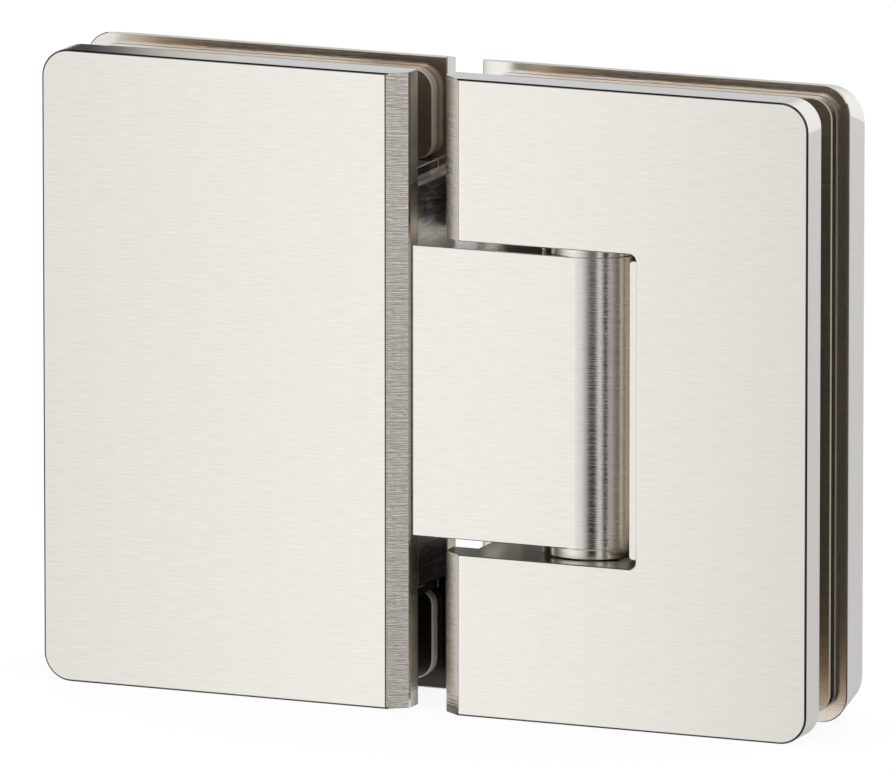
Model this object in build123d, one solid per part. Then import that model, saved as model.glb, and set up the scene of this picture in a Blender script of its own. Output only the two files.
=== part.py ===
from build123d import *
import os

# Shower door hinge, glass to glass, both leaves in line. Millimetres, +Z up, X across the
# two leaves, -Y the front. The origin lies under the middle of the hinge, on its bottom edges.

# Leaves
leaf_height = 90.0
leaf_width = 54.85
leaf_gap = 5.35
front_thickness = 5.1
back_thickness = 5.94
glass_slot = 6.5
gasket_thickness = 1.9
corner_radius = 4.0
back_corner_radius = 5.0
edge_break = 0.17
side_edge_break = 0.2
bevel_width = 2.84
front_bevel_depth = 2.2
back_bevel_depth = 2.64
back_edge_slope = 1.05

# Gaskets
gasket_outer_inset = 1.8
gasket_inner_inset = 1.4
gasket_end_inset = 1.6
gasket_corner_radius = 3.0
gasket_notch_radius = 2.2
gasket_edge_break = 0.16
gasket_notch_clearance = 0.1

# Knuckle and pivot
knuckle_height = 41.2
knuckle_radius = 7.43
knuckle_edge_break = 0.12
pivot_reach = 24.49
pin_diameter = 8.0
pin_running_clearance = 0.04
pin_seat_clearance = 0.02
pin_engagement = 7.4
pin_end_clearance = 0.2
pin_end_chamfer = 0.5
flat_depth = 0.6
flat_length = 26.0
grub_flat_depth = 0.5
grub_flat_length = 6.4
bush_wall = 1.2
bush_length = 8.0
bush_seat_clearance = 0.01
flange_thickness = 1.41
flange_clearance = 0.15
flange_edge_break = 0.1

# Cut-out of the door leaf
sweep_clearance = 1.47
cover_strip_proud = 1.34
cover_strip_setback = 1.1
cover_strip_end_clearance = 1.16
cover_strip_end_radius = 0.5
cutout_corner_radius = 1.0
cutout_edge_break = 0.14

# Blocks between the plates
block_reach = 18.0
block_step = 0.45
block_face_height = 57.7
block_face_setback = 1.33
block_face_chamfer = 0.45
pin_block_height = 9.6
pin_block_setback = 3.77
bridge_thickness = 3.2
liner_thickness = 1.2
liner_edge_break = 0.14

# Clamp screws
screw_diameter = 5.0
screw_head_diameter = 8.8
screw_head_rim = 0.4
screw_head_recess = 0.1
screw_length = 16.0
screw_tip_clearance = 0.6
screw_seat_clearance = 0.02
screw_hole_clearance = 0.25
screw_socket_width = 3.0
screw_socket_depth = 2.0
fixed_screw_reach = 11.0
fixed_screw_edge = 8.8
door_screw_offset = 8.2

# Detents
detent_bush_gap = 0.6
detent_diameter = 7.0
plunger_clearance = 0.05
plunger_length = 9.0
plunger_nose_clearance = 0.05
plunger_chamfer = 0.3
spring_wire = 0.9
spring_length = 14.0
spring_turns = 7
spring_side_clearance = 0.35
set_screw_length = 8.0
set_screw_clearance = 0.01
set_screw_socket_width = 3.0
set_screw_socket_depth = 3.5

# Grub screws that hold the pin
grub_diameter = 5.0
grub_length = 8.0
grub_clearance = 0.02
grub_socket_width = 2.5
grub_socket_depth = 2.5

# Planes and axes of the assembly
plate_gap = glass_slot + 2 * gasket_thickness
depth = front_thickness + plate_gap + back_thickness
front_y = -depth / 2
front_inner_y = front_y + front_thickness
back_inner_y = front_inner_y + plate_gap
back_y = depth / 2
mid_z = leaf_height / 2
fixed_side_x = -leaf_gap / 2
door_side_x = leaf_gap / 2
pivot_x = fixed_side_x + pivot_reach
pivot_y = (front_inner_y + back_inner_y) / 2
pin_radius = pin_diameter / 2
bush_radius = pin_radius + pin_running_clearance + bush_wall
knuckle_half = knuckle_height / 2
cutout_half = knuckle_half + flange_thickness + flange_clearance
strip_x = pivot_x + knuckle_radius + sweep_clearance
cutout_x = strip_x + cover_strip_proud
bridge_x = cutout_x + bridge_thickness
pin_block_x = door_side_x + pin_block_setback
pin_block_half = cutout_half + pin_block_height
fixed_block_half = block_face_height / 2 + block_step
fixed_core_x = fixed_side_x - block_face_setback
fixed_block_x = fixed_side_x - block_reach
fixed_screw_x = fixed_side_x - fixed_screw_reach
door_screw_x = pivot_x + door_screw_offset
door_screw_half = (cutout_half + pin_block_half) / 2
fixed_screw_half = fixed_block_half - fixed_screw_edge
grub_half = door_screw_half
detent_half = knuckle_half - bush_length - detent_bush_gap - detent_diameter / 2
plunger_nose_x = pivot_x - pin_radius - plunger_nose_clearance
plunger_back_x = plunger_nose_x - plunger_length
spring_back_x = plunger_back_x - spring_length


def span(x0, x1, y0, y1, z0, z1):
    """Box between two corners."""
    middle = Pos((x0 + x1) / 2, (y0 + y1) / 2, (z0 + z1) / 2)
    return middle * Box(abs(x1 - x0), abs(y1 - y0), abs(z1 - z0))


def rod_x(radius, x0, x1, y, z):
    """Round rod along X."""
    return Pos((x0 + x1) / 2, y, z) * Rot(0, 90, 0) * Cylinder(radius, abs(x1 - x0))


def rod_y(radius, x, y0, y1, z):
    """Round rod along Y."""
    return Pos(x, (y0 + y1) / 2, z) * Rot(90, 0, 0) * Cylinder(radius, abs(y1 - y0))


def rod_z(radius, x, y, z0, z1):
    """Round rod along Z."""
    return Pos(x, y, (z0 + z1) / 2) * Cylinder(radius, abs(z1 - z0))


def upright(sketch, x, y, z):
    """Stands a sketch in the XZ plane, with its front towards -Y."""
    return Plane(origin=(x, y, z), x_dir=(1, 0, 0), z_dir=(0, -1, 0)) * sketch


def leaf_outline(side, y, end_inset, outer_inset, radius):
    """Outline of a leaf plate at depth y: rounded at the outer end, square at the inner one."""
    width = leaf_width - outer_inset
    outline = Rectangle(width, leaf_height - 2 * end_inset)
    corners = outline.vertices().sort_by(Axis.X)
    outline = fillet(corners[2:] if side > 0 else corners[:2], radius - outer_inset)
    return upright(outline, side * (leaf_gap + width) / 2, y, mid_z)


def leaf_plate(side, y_inner, y_face, slope, face_radius, bevel_depth):
    """Plate between two depths, with broken edges; its ends slope inwards towards y_face."""
    turn = 1 if y_face > y_inner else -1
    thickness = abs(y_face - y_inner)
    lean = slope * edge_break / thickness
    faces = [
        leaf_outline(side, y_inner, edge_break, edge_break, corner_radius),
        leaf_outline(side, y_inner + turn * edge_break, lean, 0, corner_radius),
        leaf_outline(side, y_face - turn * edge_break, slope - lean, 0, face_radius),
        leaf_outline(side, y_face, slope + edge_break, edge_break, face_radius),
    ]
    plate = Part() + loft(Sketch() + faces, ruled=True)
    fall = bevel_depth / bevel_width
    section = [
        (bevel_width, 0),
        (side_edge_break, bevel_depth - side_edge_break * fall),
        (0, bevel_depth + side_edge_break),
        (0, thickness - edge_break),
        (edge_break, thickness),
        (leaf_width + 1, thickness),
        (leaf_width + 1, 0),
    ]
    points = [(side * (leaf_gap / 2 + reach), y_face - turn * into) for reach, into in section]
    return plate & extrude(make_face(Polyline(*points, close=True)), leaf_height)


def front_plate(side):
    """Front plate of a leaf, with straight ends."""
    return leaf_plate(side, front_inner_y, front_y, 0, corner_radius, front_bevel_depth)


def back_plate(side):
    """Back plate of a leaf: its top and bottom edges slope inwards towards the back."""
    return leaf_plate(
        side, back_inner_y, back_y, back_edge_slope, back_corner_radius, back_bevel_depth
    )


def cutout(y0, y1):
    """Cut-out of the door leaf, open at the leaf's inner side."""
    left = door_side_x - 1
    window = Rectangle(cutout_x - left, 2 * cutout_half)
    window = fillet(window.vertices().sort_by(Axis.X)[-2:], cutout_corner_radius)
    return extrude(upright(window, (left + cutout_x) / 2, y0, mid_z), -(y1 - y0))


def hex_socket(width, length):
    """Six-sided driver socket, along Z from 0 down."""
    return Pos(0, 0, -length) * extrude(RegularPolygon(width / 2, 6, major_radius=False), length)


def screw_hole(x, z):
    """Countersunk clearance hole in a back plate."""
    head = screw_head_diameter / 2 + screw_hole_clearance
    shank = screw_diameter / 2 + screw_hole_clearance
    seat = back_y - screw_head_recess - screw_head_rim
    rim = rod_y(head, x, seat, back_y + 1, z)
    cone = Pos(x, seat - (head - shank) / 2, z) * Rot(90, 0, 0) * Cone(head, shank, head - shank)
    return rim + cone + rod_y(shank, x, back_inner_y - 1, back_y, z)


def threaded_hole(x, z):
    """Blind hole that takes a clamp screw's thread."""
    end = back_y - screw_head_recess - screw_length - screw_tip_clearance
    return rod_y(screw_diameter / 2 + screw_seat_clearance, x, end, back_inner_y + 1, z)


def clamp_screw(x, z):
    """Countersunk screw with a six-sided socket, its head flush with the back plate."""
    top = back_y - screw_head_recess
    seat = top - screw_head_rim
    head = screw_head_diameter / 2
    shank = screw_diameter / 2
    body = rod_y(shank, x, top - screw_length, top, z) + rod_y(head, x, seat, top, z)
    body += Pos(x, seat - (head - shank) / 2, z) * Rot(90, 0, 0) * Cone(head, shank, head - shank)
    socket = Pos(x, top, z) * Rot(-90, 0, 0) * hex_socket(screw_socket_width, screw_socket_depth)
    return body - socket


def fixed_block():
    """Solid block between the fixed leaf's plates, with a face plate in line with their sides."""
    core = span(
        fixed_block_x, fixed_core_x, front_inner_y, back_inner_y,
        mid_z - fixed_block_half, mid_z + fixed_block_half,
    )
    face = span(
        fixed_core_x, fixed_side_x, front_inner_y, back_inner_y,
        mid_z - block_face_height / 2, mid_z + block_face_height / 2,
    )
    rims = face.edges().filter_by(Axis.Y).group_by(Axis.X)[-1]
    return core + chamfer(rims, block_face_chamfer)


def knuckle():
    """Arm that reaches into the cut-out, with a round end about the pivot."""
    low, high = mid_z - knuckle_half, mid_z + knuckle_half
    arm = span(
        fixed_side_x, pivot_x, pivot_y - knuckle_radius, pivot_y + knuckle_radius, low, high
    )
    arm += rod_z(knuckle_radius, pivot_x, pivot_y, low, high)
    rims = [
        edge
        for face in (arm.faces().sort_by(Axis.Z)[0], arm.faces().sort_by(Axis.Z)[-1])
        for edge in face.edges()
        if edge.center().X > fixed_side_x + knuckle_edge_break
    ]
    return chamfer(rims, knuckle_edge_break)


def fixed_front_leaf():
    """Front plate, block and knuckle of the fixed leaf, cast in one."""
    body = front_plate(-1) + fixed_block() + knuckle()
    bore = bush_radius + bush_seat_clearance
    body -= rod_z(bore, pivot_x, pivot_y, mid_z - knuckle_half - 1, mid_z + knuckle_half + 1)
    for z in (mid_z - detent_half, mid_z + detent_half):
        body -= rod_x(detent_diameter / 2, fixed_block_x - 1, pivot_x, pivot_y, z)
    for z in (mid_z - fixed_screw_half, mid_z + fixed_screw_half):
        body -= threaded_hole(fixed_screw_x, z)
    return body


def fixed_back_plate():
    """Back plate of the fixed leaf, with two countersunk holes."""
    body = back_plate(-1)
    for z in (mid_z - fixed_screw_half, mid_z + fixed_screw_half):
        body -= screw_hole(fixed_screw_x, z)
    return body


def cover_strip():
    """Strip along the cut-out's far wall that hides the sweep gap behind the knuckle."""
    half = cutout_half - cover_strip_end_clearance
    near_y = front_y + cover_strip_setback
    strip = span(strip_x, cutout_x, near_y, back_inner_y, mid_z - half, mid_z + half)
    ends = strip.edges().filter_by(Axis.Y).group_by(Axis.X)[0]
    return fillet(ends, cover_strip_end_radius)


def pin_blocks():
    """Blocks above and below the cut-out that hold the pin, and the wall that joins them."""
    body = span(
        pin_block_x, bridge_x, front_inner_y, back_inner_y,
        mid_z - pin_block_half, mid_z + pin_block_half,
    )
    return body - cutout(front_y - 1, back_y + 1)


def door_front_leaf():
    """Front plate of the door leaf with its pin blocks and cover strip, cast in one."""
    body = front_plate(1) - cutout(front_y - 1, front_inner_y + 1)
    rims = [
        edge
        for edge in body.faces().sort_by(Axis.Y)[0].edges()
        if edge.center().X < cutout_x + 0.01 and abs(edge.center().Z - mid_z) < cutout_half + 0.01
    ]
    body = chamfer(rims, cutout_edge_break) + pin_blocks() + cover_strip()
    seat = pin_radius + pin_seat_clearance
    foot = mid_z - cutout_half - pin_engagement - pin_end_clearance
    body -= rod_z(seat, pivot_x, pivot_y, foot, mid_z + pin_block_half + 1)
    for z in (mid_z - grub_half, mid_z + grub_half):
        body -= rod_x(grub_diameter / 2 + grub_clearance, pin_block_x - 1, pivot_x, pivot_y, z)
    for z in (mid_z - door_screw_half, mid_z + door_screw_half):
        body -= threaded_hole(door_screw_x, z)
    return body


def door_back_plate():
    """Back plate of the door leaf, with the same cut-out and two countersunk holes."""
    body = back_plate(1) - cutout(back_inner_y - 1, back_y + 1)
    for z in (mid_z - door_screw_half, mid_z + door_screw_half):
        body -= screw_hole(door_screw_x, z)
    return body


def gasket(side, y0, y1, notch_reach, notch_half):
    """Flat gasket on a plate's inner face, notched round the block and its liner."""
    inner = leaf_gap / 2 + gasket_inner_inset
    outer = leaf_gap / 2 + leaf_width - gasket_outer_inset
    pad = Rectangle(outer - inner, leaf_height - 2 * gasket_end_inset)
    pad = fillet(pad.vertices(), gasket_corner_radius)
    middle = (outer + inner) / 2
    reach = notch_reach + gasket_notch_clearance
    half = notch_half + gasket_notch_clearance
    pad -= Pos(inner + (reach - inner - 1) / 2 - middle, 0) * Rectangle(reach - inner + 1, 2 * half)
    tips = [one for one in pad.vertices().group_by(Axis.X)[0] if abs(abs(one.Y) - half) < 0.01]
    pad = fillet(tips, gasket_notch_radius)
    if side < 0:
        pad = mirror(pad, Plane.YZ)
    body = extrude(upright(pad, side * middle, y0, mid_z), -(y1 - y0), dir=(0, -1, 0))
    faces = body.faces().filter_by(Axis.Y)
    return chamfer([edge for face in faces for edge in face.edges()], gasket_edge_break)


def liner(side, x_open, x_wall, half):
    """U-shaped liner between the block and the edge of the notch in the glass."""
    outer_x = x_wall + side * liner_thickness
    outer = half + liner_thickness
    shell = span(x_open, outer_x, front_inner_y, back_inner_y, mid_z - outer, mid_z + outer)
    tips = shell.edges().filter_by(Axis.Y).sort_by(lambda one: abs(one.center().X - x_open))[:2]
    shell = chamfer(tips, liner_edge_break)
    core = span(
        x_open - side, x_wall, front_inner_y - 1, back_inner_y + 1, mid_z - half, mid_z + half
    )
    return shell - core


def bush(top):
    """Flanged bush at one end of the knuckle; its flange is the disc seen beside it."""
    turn = 1 if top else -1
    end = mid_z + turn * knuckle_half
    rim = end + turn * flange_thickness
    body = rod_z(bush_radius, pivot_x, pivot_y, end - turn * bush_length, rim)
    flange = rod_z(knuckle_radius, pivot_x, pivot_y, end, rim)
    body += chamfer(flange.edges().filter_by(GeomType.CIRCLE), flange_edge_break)
    low, high = min(end - turn * bush_length, rim) - 1, max(end - turn * bush_length, rim) + 1
    return body - rod_z(pin_radius + pin_running_clearance, pivot_x, pivot_y, low, high)


def pivot_pin():
    """Pin with four flats for the detents and a flat for each grub screw."""
    low = mid_z - cutout_half - pin_engagement
    high = mid_z + cutout_half + pin_engagement
    body = rod_z(pin_radius, pivot_x, pivot_y, low, high)
    body = chamfer(body.edges().filter_by(GeomType.CIRCLE), pin_end_chamfer)
    flat = pin_radius - flat_depth
    for angle in (0, 90, 180, 270):
        cut = span(flat, flat + pin_radius, -pin_radius, pin_radius, -flat_length / 2, flat_length / 2)
        body -= Pos(pivot_x, pivot_y, mid_z) * Rot(0, 0, angle) * cut
    for z in (mid_z - grub_half, mid_z + grub_half):
        body -= span(
            pivot_x - 2 * pin_radius, pivot_x - pin_radius + grub_flat_depth,
            pivot_y - pin_radius, pivot_y + pin_radius,
            z - grub_flat_length / 2, z + grub_flat_length / 2,
        )
    return body


def grub_screw(z):
    """Headless screw in a pin block, with its tip on the pin's flat."""
    tip = pivot_x - pin_radius + grub_flat_depth
    body = rod_x(grub_diameter / 2, tip - grub_length, tip, pivot_y, z)
    socket = Rot(0, -90, 0) * hex_socket(grub_socket_width, grub_socket_depth)
    return body - Pos(tip - grub_length, pivot_y, z) * socket


def detent_plunger(z):
    """Round plunger that presses on the pin's flats."""
    radius = detent_diameter / 2 - plunger_clearance
    body = rod_x(radius, plunger_back_x, plunger_nose_x, pivot_y, z)
    return chamfer(body.edges().filter_by(GeomType.CIRCLE), plunger_chamfer)


def detent_spring(z):
    """Coil spring behind a plunger."""
    radius = detent_diameter / 2 - spring_side_clearance - spring_wire / 2
    run = spring_length - spring_wire
    path = Helix(run / spring_turns, run, radius)
    wire = Plane(path @ 0, z_dir=path % 0) * Circle(spring_wire / 2)
    coil = sweep(wire, path, is_frenet=True)
    return Pos(spring_back_x + spring_wire / 2, pivot_y, z) * Rot(0, 90, 0) * coil


def set_screw(z):
    """Headless screw that backs a detent spring."""
    radius = detent_diameter / 2 - set_screw_clearance
    body = rod_x(radius, spring_back_x - set_screw_length, spring_back_x, pivot_y, z)
    socket = Rot(0, -90, 0) * hex_socket(set_screw_socket_width, set_screw_socket_depth)
    return body - Pos(spring_back_x - set_screw_length, pivot_y, z) * socket


def write(name, shape):
    """Writes one piece to its own file."""
    export_step(Part() + shape, f"parts/{name}.step")


os.makedirs("parts", exist_ok=True)

fixed_notch_reach = block_reach + liner_thickness + leaf_gap / 2
fixed_notch_half = fixed_block_half + liner_thickness
door_notch_reach = bridge_x + liner_thickness
door_notch_half = pin_block_half + liner_thickness

write("fixed_front_leaf", fixed_front_leaf())
write("fixed_back_plate", fixed_back_plate())
write("fixed_notch_liner", liner(-1, fixed_core_x, fixed_block_x, fixed_block_half))
write("door_front_leaf", door_front_leaf())
write("door_back_plate", door_back_plate())
write("door_notch_liner", liner(1, pin_block_x, bridge_x, pin_block_half))

for name, side, reach, half in (
    ("fixed", -1, fixed_notch_reach, fixed_notch_half),
    ("door", 1, door_notch_reach, door_notch_half),
):
    front = gasket(side, front_inner_y, front_inner_y + gasket_thickness, reach, half)
    back = gasket(side, back_inner_y - gasket_thickness, back_inner_y, reach, half)
    write(f"{name}_front_gasket", front)
    write(f"{name}_back_gasket", back)

write("pivot_pin", pivot_pin())
for name, turn in (("upper", 1), ("lower", -1)):
    detent_z = mid_z + turn * detent_half
    write(f"{name}_bush", bush(turn > 0))
    write(f"{name}_detent_plunger", detent_plunger(detent_z))
    write(f"{name}_detent_spring", detent_spring(detent_z))
    write(f"{name}_set_screw", set_screw(detent_z))
    write(f"{name}_pin_grub_screw", grub_screw(mid_z + turn * grub_half))
    write(f"fixed_{name}_clamp_screw", clamp_screw(fixed_screw_x, mid_z + turn * fixed_screw_half))
    write(f"door_{name}_clamp_screw", clamp_screw(door_screw_x, mid_z + turn * door_screw_half))
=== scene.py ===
import bpy
import math

from functools import partial
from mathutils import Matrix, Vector


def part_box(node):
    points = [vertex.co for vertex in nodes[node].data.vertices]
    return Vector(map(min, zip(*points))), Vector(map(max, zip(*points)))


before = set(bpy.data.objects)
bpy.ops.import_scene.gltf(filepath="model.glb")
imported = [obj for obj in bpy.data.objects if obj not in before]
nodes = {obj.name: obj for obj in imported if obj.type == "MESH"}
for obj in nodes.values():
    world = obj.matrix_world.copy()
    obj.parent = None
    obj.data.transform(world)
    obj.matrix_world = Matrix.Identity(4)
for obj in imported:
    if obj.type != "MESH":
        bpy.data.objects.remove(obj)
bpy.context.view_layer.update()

# Fixed leaf. Two plates of cast brass, nickel plated and brushed level on a belt, the front one
# with the block and the knuckle on it. Their outer edges are polished, and so are the inner faces
# that clamp the glass, whose browner, darker colour there is painted shade. Two screws draw the
# back plate to the glass.

nickel_bright = (0.86, 0.817, 0.745, 1.0)
nickel_dark = (0.797, 0.754, 0.682, 1.0)
nickel_roughness = (0.12, 0.19)
plate_stroke_length = 0.0036
plate_stroke_width = 0.00018
plate_stroke_depth = 0.00004
grain_detail = 2.0
grain_roughness = 0.6
grain_low = 0.32
grain_high = 0.68
level_facing = 0.72
polished_height = 0.5
polished_tone = 0.6


def place(tree, kind, inputs=None, **options):
    """Adds a node to a tree, sets its options, and sets or links its inputs."""
    made = tree.nodes.new(kind)
    for name, value in options.items():
        setattr(made, name, value)
    for name, value in (inputs or {}).items():
        if isinstance(value, bpy.types.NodeSocket):
            tree.links.new(value, made.inputs[name])
        else:
            made.inputs[name].default_value = value
    return made


def sums(tree, operation, *values):
    """One step of arithmetic on numbers or sockets."""
    return place(tree, "ShaderNodeMath", dict(enumerate(values)), operation=operation).outputs[0]


def overlap(tree, first, *others):
    """Where several masks overlap."""
    for mask in others:
        first = sums(tree, "MULTIPLY", first, mask)
    return first


def ramp(tree, value, low, high, start=0.0, end=1.0):
    """Number that goes from start to end while a value goes from low to high."""
    return place(tree, "ShaderNodeMapRange", {
        "Value": value, "From Min": low, "From Max": high, "To Min": start, "To Max": end,
    }).outputs["Result"]


def number_between(tree, share, a, b):
    """Number between two others."""
    return place(tree, "ShaderNodeMix", {"Factor": share, "A": a, "B": b}).outputs["Result"]


def colour_between(tree, share, a, b):
    """Colour between two others."""
    mix = place(tree, "ShaderNodeMix", data_type="RGBA")
    for socket, value in zip((mix.inputs[0], mix.inputs[6], mix.inputs[7]), (share, a, b)):
        if isinstance(value, bpy.types.NodeSocket):
            tree.links.new(value, socket)
        else:
            socket.default_value = value
    return mix.outputs[2]


def axes(tree, vector):
    """The three numbers of a vector."""
    return place(tree, "ShaderNodeSeparateXYZ", {"Vector": vector}).outputs


def grain(tree, vector):
    """Fine grain of tool marks, and the same grain as a tone from dark to bright."""
    noise = place(tree, "ShaderNodeTexNoise", {
        "Vector": vector, "Scale": 1.0, "Detail": grain_detail, "Roughness": grain_roughness,
    }).outputs["Fac"]
    return noise, ramp(tree, noise, grain_low, grain_high)


def effect(name, inputs, outputs):
    """Starts a shader node group with named inputs and outputs."""
    tree = bpy.data.node_groups.new(name, "ShaderNodeTree")
    for label, value in inputs:
        kind = "NodeSocketVector" if isinstance(value, tuple) else "NodeSocketFloat"
        tree.interface.new_socket(label, in_out="INPUT", socket_type=kind).default_value = value
    for label in outputs:
        tree.interface.new_socket(label, in_out="OUTPUT", socket_type="NodeSocketFloat")
    surface = place(tree, "ShaderNodeTexCoord").outputs
    asked = tree.nodes.new("NodeGroupInput").outputs
    return tree, surface, asked, tree.nodes.new("NodeGroupOutput").inputs


def give(tree, given, **results):
    """Sends results out of a node group."""
    for name, value in results.items():
        tree.links.new(value, given[name.replace("_", " ")])


def use(tree, group, **values):
    """Places a node group in a material with its own values."""
    return place(tree, "ShaderNodeGroup", {
        name.replace("_", " "): value for name, value in values.items()
    }, node_tree=group).outputs


brush_marks, surface, asked, given = effect("Brush marks", [
    ("Stroke Length", plate_stroke_length), ("Stroke Width", plate_stroke_width), ("Polish", 0.0),
], ["Height", "Tone"])
step = partial(sums, brush_marks)
facing = axes(brush_marks, surface["Normal"])
level = step("GREATER_THAN", step("ABSOLUTE", facing["Z"]), level_facing)
stroke = place(brush_marks, "ShaderNodeCombineXYZ", {
    "X": asked["Stroke Length"],
    "Y": number_between(brush_marks, level, asked["Stroke Length"], asked["Stroke Width"]),
    "Z": asked["Stroke Width"],
}).outputs["Vector"]
along = place(brush_marks, "ShaderNodeVectorMath", {
    0: surface["Object"], 1: stroke,
}, operation="DIVIDE").outputs["Vector"]
height, tone = grain(brush_marks, along)
give(
    brush_marks, given,
    Height=number_between(brush_marks, asked["Polish"], height, polished_height),
    Tone=number_between(brush_marks, asked["Polish"], tone, polished_tone),
)

half_length = 0.057525
half_height = 0.045
rim_depth = 0.0023
edge_facing = 0.5
glass_middle = -0.00042
face_facing = 0.9
inner_face_from = 0.0046
gap_reach = 0.013
gap_fade = 0.006
inner_edge_offset = 0.0005
inner_edge_half = 0.0006
broken_facing = 0.7
broken_spread = 0.2
up_facing = 0.3
left_facing = -0.15
slab_face = -0.002675
slab_half_height = 0.02885
slab_slack = 0.0003
slab_dark_at = 0.0212
slab_bright_at = 0.0245
slab_edge_half = 0.0004
wall_from = 0.0052
bevel_line_x = 0.005515
bevel_line_half = 0.00009
bevel_line_y = -0.0104
door_line_strength = 0.45
corner_radius = 0.004
edge_line_width = 0.00027
bright_corner_x = -0.045
bright_corner_fade = 0.004
door_corner_x = 0.014
door_corner_fade = 0.006

plate_zones, surface, asked, given = effect("Plate zones", [
    ("Half Length", half_length), ("Half Height", half_height), ("Rim Depth", rim_depth),
    ("Glass Middle", glass_middle), ("Inner Face", inner_face_from), ("Gap Reach", gap_reach),
    ("Slab Face", slab_face), ("Slab Height", slab_half_height),
    ("Bevel Line", bevel_line_x), ("Line Half", bevel_line_half), ("Line Front", bevel_line_y),
    ("Door Line", door_line_strength), ("Corner Radius", corner_radius),
    ("Edge Line Width", edge_line_width), ("Bright Corner", bright_corner_x),
    ("Door Corner", door_corner_x),
], [
    "Rim", "Inner", "Near Gap", "Below", "Inner Edge", "Slab", "Slab Edge", "Wall", "Dark Line",
    "Bright Corner",
])
step = partial(sums, plate_zones)
shared = partial(overlap, plate_zones)
facing = axes(plate_zones, surface["Normal"])
spot = axes(plate_zones, surface["Object"])
out_x = step("ABSOLUTE", spot["X"])
on_door = step("GREATER_THAN", spot["X"], 0.0)
above_middle = step("SUBTRACT", spot["Z"], asked["Half Height"])
from_middle = step("ABSOLUTE", above_middle)
from_end = step("SUBTRACT", asked["Half Length"], out_x)
from_side = step("SUBTRACT", asked["Half Height"], from_middle)
from_glass = step("SUBTRACT", spot["Y"], asked["Glass Middle"])
depth = step("ABSOLUTE", from_glass)
face = step("ABSOLUTE", facing["Y"])

# The polished outer edges, and the inner faces with painted shade, darkest near the gap of the
# fixed leaf.
at_rim = step("LESS_THAN", step("MINIMUM", from_end, from_side), asked["Rim Depth"])
edgeways = step("LESS_THAN", face, edge_facing)
outwards = step("MULTIPLY", step("SIGN", from_glass), facing["Y"])
turned_in = step("LESS_THAN", outwards, -face_facing)
deep = step("GREATER_THAN", depth, asked["Inner Face"])
gap_end = step("ADD", asked["Gap Reach"], gap_fade)
near_gap = ramp(plate_zones, out_x, asked["Gap Reach"], gap_end, 1.0, 0.0)
on_fixed = step("LESS_THAN", spot["X"], 0.0)
give(
    plate_zones, given, Rim=shared(at_rim, edgeways), Inner=shared(turned_in, deep),
    Near_Gap=shared(near_gap, on_fixed), Below=step("LESS_THAN", above_middle, 0.0),
)

# The broken edges of the inner faces get a painted highlight where they look up.
broken = step("COMPARE", face, broken_facing, broken_spread)
inner_edge_middle = step("ADD", asked["Inner Face"], inner_edge_offset)
inner_edge = step("COMPARE", depth, inner_edge_middle, inner_edge_half)
looks_up = step("GREATER_THAN", facing["Z"], up_facing)
looks_right = step("GREATER_THAN", facing["X"], left_facing)
give(plate_zones, given, Inner_Edge=shared(inner_edge, broken, looks_up, looks_right))

# Painted shade on the side of the block in the gap and on the plates' walls beside it,
# and a painted highlight along the upper edge of that side.
at_slab = step("COMPARE", spot["X"], asked["Slab Face"], slab_slack)
slab_end = step("ADD", asked["Slab Height"], slab_slack)
slab_side = shared(
    at_slab, step("LESS_THAN", from_middle, slab_end),
    step("GREATER_THAN", facing["X"], face_facing),
)
at_wall = step("GREATER_THAN", depth, wall_from)
slab = shared(
    slab_side, ramp(plate_zones, from_middle, slab_dark_at, slab_bright_at),
    step("SUBTRACT", 1.0, at_wall),
)
at_slab_top = step("COMPARE", above_middle, asked["Slab Height"], slab_edge_half)
between_plates = step("LESS_THAN", depth, asked["Inner Face"])
give(
    plate_zones, given, Slab=slab, Slab_Edge=shared(slab, at_slab_top, between_plates),
    Wall=shared(slab_side, at_wall),
)

# The fine dark line round each front face and along its bevel, a painted dark reflection on the
# edge breaks.
line_strength = number_between(plate_zones, on_door, 1.0, asked["Door Line"])
on_bevel = shared(step("COMPARE", out_x, asked["Bevel Line"], asked["Line Half"]), line_strength)
corner = asked["Corner Radius"]
into_corner = place(plate_zones, "ShaderNodeCombineXYZ", {
    "X": step("MAXIMUM", step("SUBTRACT", corner, from_end), 0.0),
    "Y": step("MAXIMUM", step("SUBTRACT", corner, from_side), 0.0),
}).outputs["Vector"]
reach = place(plate_zones, "ShaderNodeVectorMath", {
    0: into_corner,
}, operation="LENGTH").outputs["Value"]
at_edge = step("LESS_THAN", step("SUBTRACT", corner, reach), asked["Edge Line Width"])
in_front = step("LESS_THAN", spot["Y"], asked["Line Front"])
give(plate_zones, given, Dark_Line=shared(step("MAXIMUM", on_bevel, at_edge), in_front))

# The painted shade on the inner faces lifts again at the fixed leaf's outer end and at the door
# leaf's inner one.
bright_start = step("SUBTRACT", asked["Bright Corner"], bright_corner_fade)
bright_corner = ramp(plate_zones, spot["X"], bright_start, asked["Bright Corner"], 1.0, 0.0)
door_start = step("SUBTRACT", asked["Door Corner"], door_corner_fade)
door_corner = ramp(plate_zones, spot["X"], door_start, asked["Door Corner"], 1.0, 0.0)
door_corner = shared(door_corner, on_door)
give(plate_zones, given, Bright_Corner=step("MAXIMUM", bright_corner, door_corner))


def metal(name, group, values, roughness, depth, dark, bright):
    """Metal whose colour, roughness and relief follow its tool marks."""
    material = bpy.data.materials.new(name)
    material.use_nodes = True
    tree = material.node_tree
    shader = tree.nodes["Principled BSDF"].inputs
    shader["Metallic"].default_value = 1.0
    marks = use(tree, group, **values)
    colour = colour_between(tree, marks["Tone"], dark, bright)
    tree.links.new(colour, shader["Base Color"])
    tree.links.new(ramp(tree, marks["Tone"], 0.0, 1.0, *roughness), shader["Roughness"])
    bump = place(tree, "ShaderNodeBump", {
        "Height": marks["Height"], "Strength": 1.0, "Distance": depth,
    })
    tree.links.new(bump.outputs["Normal"], shader["Normal"])
    return material, tree, shader, marks, colour


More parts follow.
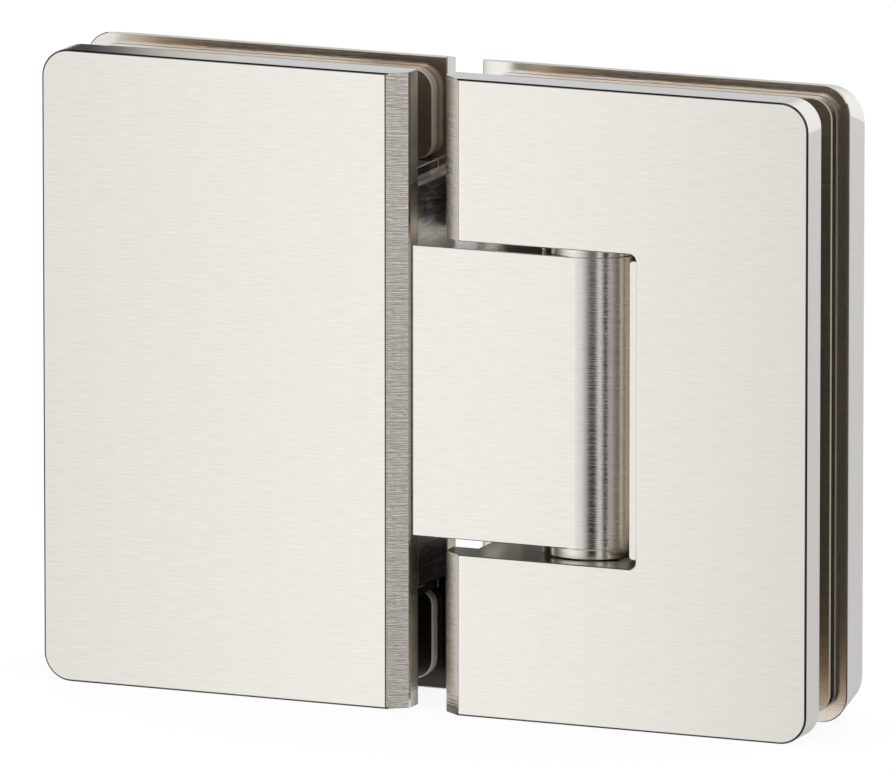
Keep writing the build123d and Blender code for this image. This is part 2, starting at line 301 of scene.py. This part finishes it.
def dress(names, material):
    """Gives CAD nodes their finish."""
    for name in names:
        nodes[name].data.materials.clear()
        nodes[name].data.materials.append(material)


rim_polish = 0.8
inner_polish = 0.7
inner_metal = 0.95
# Painted shade and painted highlights, set into the plates' colour below.
inner_shade_colour = (0.77, 0.68, 0.58, 1.0)
gap_shade_above = (0.6, 0.52, 0.43, 1.0)
gap_shade_below = (0.04, 0.034, 0.028, 1.0)
inner_edge_highlight_colour = (0.66, 0.63, 0.58, 1.0)
edge_reflection_colour = (0.14, 0.13, 0.115, 1.0)
slab_shade_bright = (0.5, 0.42, 0.33, 1.0)
slab_shade_dark = (0.05, 0.045, 0.04, 1.0)
slab_edge_highlight_colour = (0.95, 0.92, 0.86, 1.0)
wall_shade_colour = (0.5, 0.42, 0.34, 1.0)

plate_finish, tree, shader, marks, colour = metal("Brushed nickel", brush_marks, {
    "Stroke_Length": plate_stroke_length, "Stroke_Width": plate_stroke_width,
}, nickel_roughness, plate_stroke_depth, nickel_dark, nickel_bright)
zones = use(tree, plate_zones)
rim_share = sums(tree, "MULTIPLY", zones["Rim"], rim_polish)
inner_share = sums(tree, "MULTIPLY", zones["Inner"], inner_polish)
polish = sums(tree, "ADD", rim_share, inner_share)
tree.links.new(polish, marks["Height"].node.inputs["Polish"])
# Painted shade near the gap, darkest below the middle, and on the inner faces, lifted at their
# ends.
gap_shade_tone = colour_between(tree, zones["Below"], gap_shade_above, gap_shade_below)
inner_shade_tone = colour_between(tree, zones["Near Gap"], inner_shade_colour, gap_shade_tone)
inner_shade_tone = colour_between(tree, zones["Bright Corner"], inner_shade_tone, nickel_bright)
# Painted shade, painted highlights and a painted dark edge reflection laid over the brushed colour.
for zone, zone_colour in (
    ("Inner", inner_shade_tone), ("Dark Line", edge_reflection_colour), ("Inner Edge", inner_edge_highlight_colour),
    ("Slab", colour_between(tree, marks["Tone"], slab_shade_dark, slab_shade_bright)), ("Wall", wall_shade_colour),
    ("Slab Edge", slab_edge_highlight_colour),
):
    colour = colour_between(tree, zones[zone], colour, zone_colour)
tree.links.new(colour, shader["Base Color"])
# The painted highlights lose their metal, and the inner faces lose a little of it with their
# painted shade.
highlight_share = sums(tree, "MAXIMUM", zones["Inner Edge"], zones["Slab Edge"])
plated = number_between(tree, zones["Inner"], 1.0, inner_metal)
tree.links.new(number_between(tree, highlight_share, plated, 0.0), shader["Metallic"])
dress(["fixed_front_leaf", "fixed_back_plate"], plate_finish)

# Bushes and pin. Two flanged bushes, turned and plated like the plates, are pressed into the
# knuckle and show as thin discs beside it. The steel pin turns in them.

pivot = (0.021815, -0.00042, 0.0)
upright = (0.0, 0.0, 1.0)
bush_bright = (0.84, 0.8, 0.735, 1.0)
bush_dark = (0.72, 0.68, 0.61, 1.0)
steel_bright = (0.62, 0.61, 0.59, 1.0)
steel_dark = (0.5, 0.49, 0.47, 1.0)
pin_roughness = (0.2, 0.3)
ring_width = 0.00018
ring_depth = 0.00001

turning_marks, surface, asked, given = effect("Turning marks", [
    ("Axis Point", pivot), ("Axis", upright), ("Ring Width", ring_width),
], ["Height", "Tone"])
step = partial(sums, turning_marks)
from_axis = place(turning_marks, "ShaderNodeVectorMath", {
    0: surface["Object"], 1: asked["Axis Point"],
}, operation="SUBTRACT").outputs["Vector"]
along = place(turning_marks, "ShaderNodeVectorMath", {
    0: from_axis, 1: asked["Axis"],
}, operation="DOT_PRODUCT").outputs["Value"]
across = place(turning_marks, "ShaderNodeVectorMath", {
    0: from_axis, 1: asked["Axis"],
}, operation="CROSS_PRODUCT").outputs["Vector"]
radius = place(turning_marks, "ShaderNodeVectorMath", {
    0: across,
}, operation="LENGTH").outputs["Value"]
rings = place(turning_marks, "ShaderNodeCombineXYZ", {
    "X": step("DIVIDE", radius, asked["Ring Width"]),
    "Y": step("DIVIDE", along, asked["Ring Width"]),
}).outputs["Vector"]
height, tone = grain(turning_marks, rings)
give(turning_marks, given, Height=height, Tone=tone)

pin_axis = {"Axis_Point": pivot, "Axis": upright}
bush_finish = metal(
    "Turned nickel", turning_marks, pin_axis, nickel_roughness, ring_depth, bush_dark, bush_bright,
)[0]
pin_finish = metal(
    "Turned steel", turning_marks, pin_axis, pin_roughness, ring_depth, steel_dark, steel_bright,
)[0]
dress(["upper_bush", "lower_bush"], bush_finish)
dress(["pivot_pin"], pin_finish)

# Detents. In each end of the knuckle a hardened plunger, a wound spring behind it and a set screw
# behind that hold the door where a flat of the pin meets the plunger.

plunger_roughness = (0.18, 0.26)
spring_bright = (0.4, 0.39, 0.37, 1.0)
spring_dark = (0.24, 0.235, 0.225, 1.0)
spring_roughness = (0.25, 0.35)
spring_stroke_length = 0.0012
spring_stroke_width = 0.0001
spring_stroke_depth = 0.000005
screw_bright = (0.7, 0.68, 0.64, 1.0)
screw_dark = (0.56, 0.54, 0.5, 1.0)
screw_roughness = (0.22, 0.32)


def turned_piece(name, title, roughness, dark, bright):
    """Finish of a turned piece, with rings round its own axis."""
    low, high = (Vector(corner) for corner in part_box(name))
    sides = high - low
    uneven = [abs(sides[(k + 1) % 3] - sides[(k + 2) % 3]) for k in range(3)]
    axis = [0.0, 0.0, 0.0]
    axis[uneven.index(min(uneven))] = 1.0
    material = metal(f"{title} {name}", turning_marks, {
        "Axis_Point": tuple((low + high) / 2), "Axis": tuple(axis),
    }, roughness, ring_depth, dark, bright)[0]
    dress([name], material)


wire_finish = metal("Drawn spring wire", brush_marks, {
    "Stroke_Length": spring_stroke_length, "Stroke_Width": spring_stroke_width,
}, spring_roughness, spring_stroke_depth, spring_dark, spring_bright)[0]
for end in ("upper", "lower"):
    turned_piece(
        f"{end}_detent_plunger", "Hardened steel", plunger_roughness, steel_dark, steel_bright,
    )
    dress([f"{end}_detent_spring"], wire_finish)
    turned_piece(f"{end}_set_screw", "Screw steel", screw_roughness, screw_dark, screw_bright)

# Door leaf. It hangs on the pin by two blocks cast on its front plate, above and below the knuckle,
# and has the same finish as the fixed leaf. Grub screws in the blocks hold the pin.

dress(["door_front_leaf", "door_back_plate"], plate_finish)
for end in ("upper", "lower"):
    turned_piece(f"{end}_pin_grub_screw", "Screw steel", screw_roughness, screw_dark, screw_bright)

# Gaskets and liners. Punched from hard metallised sheet, one on each clamping face, with a U of the
# same round the notch of the glass. Their colour carries painted highlights on the tops, broken
# edges and foot, and painted shade near the gap, on the walls facing it and on the dark ends.

gasket_bright = (0.8, 0.72, 0.6, 1.0)
gasket_dark = (0.7, 0.62, 0.5, 1.0)
gasket_roughness = (0.12, 0.2)
gasket_stroke_length = 0.002
gasket_stroke_width = 0.00023
gasket_stroke_depth = 0.00002
gasket_polish = 0.3
gasket_metal = 0.95
# Painted shade near the gap, on the walls facing it and on the dark ends, where tool-mark ticks
# still show.
gasket_gap_shade_above = (0.74, 0.65, 0.54, 1.0)
gasket_gap_shade_below = (0.13, 0.115, 0.095, 1.0)
gasket_wall_shade = (0.4, 0.345, 0.285, 1.0)
gasket_edge_highlight = (0.42, 0.39, 0.35, 1.0)
gasket_end_shade_bright = (0.2, 0.19, 0.175, 1.0)
gasket_end_shade_dark = (0.004, 0.004, 0.004, 1.0)
gasket_end_contrast = 3.0
gasket_top_highlight = (0.97, 0.93, 0.88, 1.0)
edge_sharpness = 0.35
gasket_foot = 0.00485
gasket_end_from = 0.03
liner_reach = 0.0309
end_facing = 0.7
end_facing_full = 0.95
top_facing = 0.8
wall_facing = 0.3

# Masks for the gaskets' painted light: highlighted edges and tops, shaded ends and walls.
gasket_light_masks, surface, asked, given = effect("Gasket light masks", [
    ("Sharpness", edge_sharpness), ("Glass Middle", glass_middle), ("Foot", gasket_foot),
    ("End From", gasket_end_from), ("Half Height", half_height), ("Liner Reach", liner_reach),
], ["Edge", "End", "Top", "Wall"])
step = partial(sums, gasket_light_masks)
shared = partial(overlap, gasket_light_masks)
facing = axes(gasket_light_masks, surface["Normal"])
spot = axes(gasket_light_masks, surface["Object"])
face = step("ABSOLUTE", facing["Y"])
side = step("SQRT", step("SUBTRACT", 1.0, step("MULTIPLY", face, face)))
broken = step("GREATER_THAN", step("MULTIPLY", face, side), asked["Sharpness"])
depth = step("ABSOLUTE", step("SUBTRACT", spot["Y"], asked["Glass Middle"]))
foot = step("GREATER_THAN", depth, asked["Foot"])
endways = ramp(gasket_light_masks, step("ABSOLUTE", facing["X"]), end_facing, end_facing_full)
outer = step("GREATER_THAN", step("ABSOLUTE", spot["X"]), asked["End From"])
from_middle = step("ABSOLUTE", step("SUBTRACT", spot["Z"], asked["Half Height"]))
dark_end = step("MAXIMUM", outer, step("LESS_THAN", from_middle, asked["Liner Reach"]))
edgeways = step("LESS_THAN", face, edge_facing)
to_the_gap = step("GREATER_THAN", facing["X"], wall_facing)
give(
    gasket_light_masks, given, Edge=step("MAXIMUM", broken, foot), End=shared(endways, dark_end),
    Top=step("GREATER_THAN", facing["Z"], top_facing),
    Wall=shared(edgeways, step("SUBTRACT", 1.0, dark_end), to_the_gap),
)

gasket, tree, shader, marks, colour = metal("Gasket sheet", brush_marks, {
    "Stroke_Length": gasket_stroke_length, "Stroke_Width": gasket_stroke_width,
    "Polish": gasket_polish,
}, gasket_roughness, gasket_stroke_depth, gasket_dark, gasket_bright)
zones = use(tree, plate_zones)
edges = use(tree, gasket_light_masks)
ticks = sums(tree, "POWER", marks["Tone"], gasket_end_contrast)
# Painted highlights on the tops and edges, painted shade near the gap, on the ends and on the
# walls.
for mask, mask_colour in (
    (edges["Top"], gasket_top_highlight),
    (zones["Near Gap"], colour_between(
        tree, zones["Below"], gasket_gap_shade_above, gasket_gap_shade_below,
    )),
    (edges["End"], colour_between(tree, ticks, gasket_end_shade_dark, gasket_end_shade_bright)),
    (edges["Wall"], gasket_wall_shade), (edges["Edge"], gasket_edge_highlight),
):
    colour = colour_between(tree, mask, colour, mask_colour)
tree.links.new(colour, shader["Base Color"])
# The painted highlights on the edges and the painted shade on the walls lose their metal.
painted_light_share = sums(tree, "MAXIMUM", edges["Edge"], edges["Wall"])
tree.links.new(number_between(tree, painted_light_share, gasket_metal, 0.0), shader["Metallic"])
dress([name for name in nodes if "gasket" in name or "liner" in name], gasket)

# Clamp screws. Countersunk screws of plated steel, two in each leaf, go through the back plate from
# behind and pull it on to the glass.

clamp_screw_roughness = (0.16, 0.24)

for name in nodes:
    if name.endswith("clamp_screw"):
        turned_piece(name, "Plated steel", clamp_screw_roughness, screw_dark, screw_bright)

# Floor and light. The hinge stands on pale paper under an even white sky. The paper isn't seen in
# the metal, where the boards below stand instead of it.

floor_reach = 6.0
paper_colour = (0.12, 0.12, 0.12, 1)
paper_glow = 0.9
white = (1, 1, 1, 1)

floor_mesh = bpy.data.meshes.new("floor")
floor_mesh.from_pydata([
    (-floor_reach, -floor_reach, 0), (floor_reach, -floor_reach, 0),
    (floor_reach, floor_reach, 0), (-floor_reach, floor_reach, 0),
], [], [(0, 1, 2, 3)])
floor = bpy.data.objects.new("floor", floor_mesh)
bpy.context.scene.collection.objects.link(floor)
floor.visible_glossy = False
paper = bpy.data.materials.new("Floor paper")
paper.use_nodes = True
paper_shader = paper.node_tree.nodes["Principled BSDF"].inputs
paper_shader["Base Color"].default_value = paper_colour
paper_shader["Roughness"].default_value = 1.0
paper_shader["Specular IOR Level"].default_value = 0.0
paper_shader["Emission Color"].default_value = white
paper_shader["Emission Strength"].default_value = paper_glow
floor_mesh.materials.append(paper)

world = bpy.data.worlds.new("Studio")
bpy.context.scene.world = world
world.use_nodes = True
sky = world.node_tree.nodes["Background"].inputs
sky["Color"].default_value = white
sky["Strength"].default_value = 1.0

# Boards. Painted boards stand round the hinge and are seen only in the metal, where they give the
# bright and dark bands of a product photograph. A tone is what the metal sees there.

boards_centre = Vector((0, 0, half_height))
board_step = 1.25
board_distance = 5.0
softbox_distance = 0.25
ceiling_distance = 5.2
boards_foot = -60
boards_top = 45
back_split = -9.0
fade_low = -18.5
fade_high = -4.0
fade_curve = 3.0
first_bounce_depth = 1.5

board_paint = bpy.data.materials.new("Board paint")
board_paint.use_nodes = True
tree = board_paint.node_tree
tree.nodes.remove(tree.nodes["Principled BSDF"])
step = partial(sums, tree)
paint = place(tree, "ShaderNodeAttribute", attribute_name="tone").outputs
light = place(tree, "ShaderNodeEmission", {
    "Color": paint["Color"], "Strength": 1.0,
}).outputs["Emission"]
clear = place(tree, "ShaderNodeBsdfTransparent").outputs["BSDF"]
path = place(tree, "ShaderNodeLightPath").outputs
first_bounce = step("LESS_THAN", path["Ray Depth"], first_bounce_depth)
too_near = overlap(tree, step("LESS_THAN", path["Ray Length"], paint["Alpha"]), first_bounce)
seen = place(tree, "ShaderNodeMixShader", {0: too_near, 1: light, 2: clear}).outputs["Shader"]
tree.links.new(seen, tree.nodes["Material Output"].inputs["Surface"])


def board(name, rows, tint=(1.0, 1.0, 1.0), clear_within=0.0):
    """Board through rows of points with their tones; metal nearer than clear_within misses it."""
    wide = len(rows[0])
    points = [point for row in rows for point, tone in row]
    quads = [
        (r * wide + c, r * wide + c + 1, (r + 1) * wide + c + 1, (r + 1) * wide + c)
        for r in range(len(rows) - 1) for c in range(wide - 1)
    ]
    mesh = bpy.data.meshes.new(name)
    mesh.from_pydata(points, [], quads)
    painted = mesh.color_attributes.new("tone", "FLOAT_COLOR", "POINT")
    for spot, tone in zip(painted.data, (tone for row in rows for point, tone in row)):
        spot.color = (*(tone * share for share in tint), clear_within)
    mesh.materials.append(board_paint)
    made = bpy.data.objects.new(name, mesh)
    bpy.context.scene.collection.objects.link(made)
    for ray in ("camera", "diffuse", "transmission", "volume_scatter", "shadow"):
        setattr(made, "visible_" + ray, False)


def tones_at(bearing, stops):
    """Tones below and above the fade at a bearing, from the stops on both sides of it."""
    for (a, *first), (b, *second) in zip(stops, stops[1:]):
        if bearing <= b:
            share = (bearing - a) / (b - a)
            ends = zip((first[0], first[-1]), (second[0], second[-1]))
            return [x + (y - x) * share for x, y in ends]
    return [stops[-1][1], stops[-1][-1]]


def card(name, distance, bearings, heights, stops, tint=(1.0, 1.0, 1.0)):
    """Curved board round the hinge; its tone changes with the bearing and, in the fade, upwards."""
    across = round((bearings[1] - bearings[0]) / board_step)
    up = round((heights[1] - heights[0]) / board_step)
    rows = []
    for r in range(up + 1):
        height = heights[0] + (heights[1] - heights[0]) * r / up
        lift = min(1.0, max(0.0, (height - fade_low) / (fade_high - fade_low))) ** fade_curve
        row = []
        for c in range(across + 1):
            bearing = bearings[0] + (bearings[1] - bearings[0]) * c / across
            below, above = tones_at(bearing, stops)
            turn, tilt = math.radians(bearing), math.radians(height)
            flat = math.cos(tilt)
            towards = Vector((math.sin(turn) * flat, -math.cos(turn) * flat, math.sin(tilt)))
            row.append((boards_centre + distance * towards, below + (above - below) * lift))
        rows.append(row)
    board(name, rows, tint)


card("front_softbox", softbox_distance, (-75, 30), (boards_foot, boards_top), [
    (-75, 0.09), (-69, 0.125), (-63.5, 0.2), (-58, 0.32), (-53, 0.46), (-42, 0.86), (-34, 0.95),
    (-29, 1.01), (-24, 1.072), (-21, 1.082), (-18.7, 1.052), (-16.5, 1.011), (-12.4, 0.952),
    (-8, 0.887), (-3.8, 0.8), (0.5, 0.7), (4.6, 0.57), (8.6, 0.42), (12.6, 0.12, 0.35),
    (16.5, 0.0, 0.26), (30, 0.0, 0.26),
], (1.0, 1.014, 1.053))
card("right_boards", board_distance, (5, 150), (boards_foot, boards_top), [
    (5, 0.0, 0.26), (23.8, 0.0, 0.26), (27.3, 0.64, 0.9), (36.5, 0.62, 0.88), (39.8, 0.0, 0.16),
    (51.1, 0.0, 0.16), (52.3, 0.64, 1.6), (56, 0.62, 1.55), (61, 0.0, 0.2), (75, 0.05),
    (85, 0.8), (150, 0.72),
], (1.0, 1.002, 1.01))
card("back_low_boards", board_distance, (150, 195), (boards_foot, back_split), [
    (150, 0.68), (157, 0.655), (165, 0.665), (175, 0.6), (195, 0.54),
], (1.0, 1.02, 1.074))
card("back_high_boards", board_distance, (150, 195), (back_split, boards_top), [
    (150, 1.0), (180, 1.0), (195, 0.75),
], (1.0, 1.02, 1.06))
card("left_boards", board_distance, (195, 300), (boards_foot, boards_top), [
    (195, 0.66), (212, 0.66), (222, 0.8), (236, 0.8), (240, 0.05), (262, 0.05), (268, 0.6),
    (300, 0.6),
], (1.0, 1.03, 1.095))
for name, heights, tone in (
    ("ceiling", (42, 71), 0.06), ("skylight", (71, 90), 0.75), ("ground_board", (-90, -57), 0.06),
):
    card(name, ceiling_distance, (0, 360), heights, [(0, tone), (360, tone)])

# Flags. Narrow dark boards stand close behind the gap, the slit under the knuckle and the tops,
# and keep the light out of them. Each is a strip with its heights and the tone at each height.

flag_y = 0.0125
middle_flag_y = 0.02
flag_clearance = 0.004
gap_edges = (-0.0045, 0.0055)
middle_gap_edges = (-0.0045, 0.0085)
slit_edges = (0.0055, 0.0205)

for name, y, edges, heights in (
    ("low_gap_flag", flag_y, gap_edges, (
        (-0.012, 0.02), (0.0195, 0.02), (0.021, 0.2), (0.03, 0.2),
    )),
    ("slit_flag", flag_y, slit_edges, ((0.0205, 0.1), (0.027, 0.1))),
    ("middle_gap_flag", middle_flag_y, middle_gap_edges, ((0.058, 0.012), (0.0704, 0.012))),
    ("high_gap_flag", flag_y, gap_edges, (
        (0.071, 0.08), (0.08, 0.1), (0.086, 0.3), (0.09, 0.35),
    )),
):
    rows = [[(Vector((x, y, z)), tone) for x in edges] for z, tone in heights]
    board(name, rows, clear_within=y - flag_clearance)

top_flag_y = 0.014
top_flag_heights = (0.0915, 0.102)
board("top_flag", [
    [(Vector((x, top_flag_y, z)), tone) for x, tone in (
        (-0.08, 0.05), (-0.0613, 0.055), (-0.057, 0.15), (-0.0533, 0.34), (-0.0493, 0.52),
        (-0.0453, 0.61), (-0.04, 0.65),
    )]
    for z in top_flag_heights
])

# Camera. A long lens, level with the eye of someone who looks down a little at the hinge.

picture_width = 896
lens_pixels = 19135.1
sensor_width = 36.0
nearest = 0.1
farthest = 30.0
camera_azimuth = math.radians(22.855)
camera_elevation = math.radians(11.181)
camera_distance = 2.6639
camera_target = Vector((-0.000262, -0.00067, 0.044333))

lens = bpy.data.cameras.new("camera")
lens.sensor_width = sensor_width
lens.lens = lens_pixels / picture_width * sensor_width
lens.clip_start = nearest
lens.clip_end = farthest
camera = bpy.data.objects.new("camera", lens)
bpy.context.scene.collection.objects.link(camera)
towards = Vector((
    -math.sin(camera_azimuth) * math.cos(camera_elevation),
    math.cos(camera_azimuth) * math.cos(camera_elevation),
    -math.sin(camera_elevation),
))
camera.location = camera_target - towards * camera_distance
camera.rotation_mode = "QUATERNION"
camera.rotation_quaternion = towards.to_track_quat("-Z", "Y")
bpy.context.scene.camera = camera
bpy.context.scene.view_settings.view_transform = "Standard"
